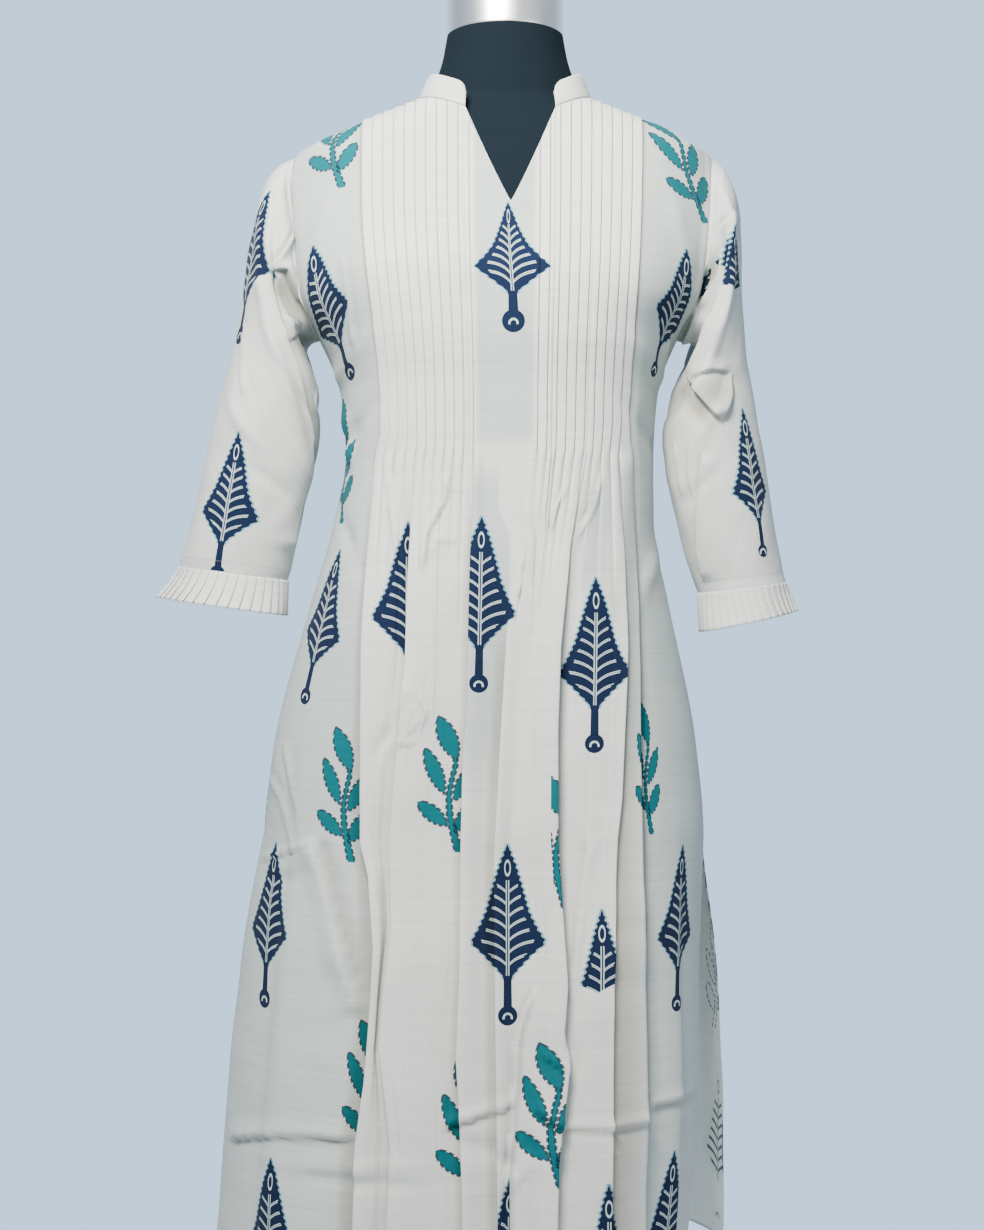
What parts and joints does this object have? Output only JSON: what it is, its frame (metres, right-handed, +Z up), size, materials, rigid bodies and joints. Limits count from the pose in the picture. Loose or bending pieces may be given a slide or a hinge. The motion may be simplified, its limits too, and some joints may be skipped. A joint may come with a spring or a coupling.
{
  "type": "kurta tunic on a dress form",
  "caption": "Three-quarter sleeved A-line kurta tunic with a tucked yoke, V neck, band collar and pleated cuff frills, on a limbless dress form with pole and round base.",
  "frame": {"origin": "middle of the underside of the round base, on the floor", "axes": "+Z up along the pole, the front of the tunic faces -Y, the wearer's left side is at +X"},
  "size_m": [0.6015, 0.3896, 1.545],
  "materials": {
    "cloth": "matte",
    "form_cover": "matte",
    "bright_metal": "satin",
    "dark_metal": "satin"
  },
  "bodies": {
    "root": {"kurta_front": "cloth", "kurta_back": "cloth", "sleeve_left": "cloth", "sleeve_right": "cloth", "cuff_frill_left": "cloth", "cuff_frill_right": "cloth", "collar_band": "cloth", "form_torso": "form_cover", "neck_cap": "bright_metal", "stand_pole": "bright_metal", "stand_base": "dark_metal"}
  },
  "joints": []
}
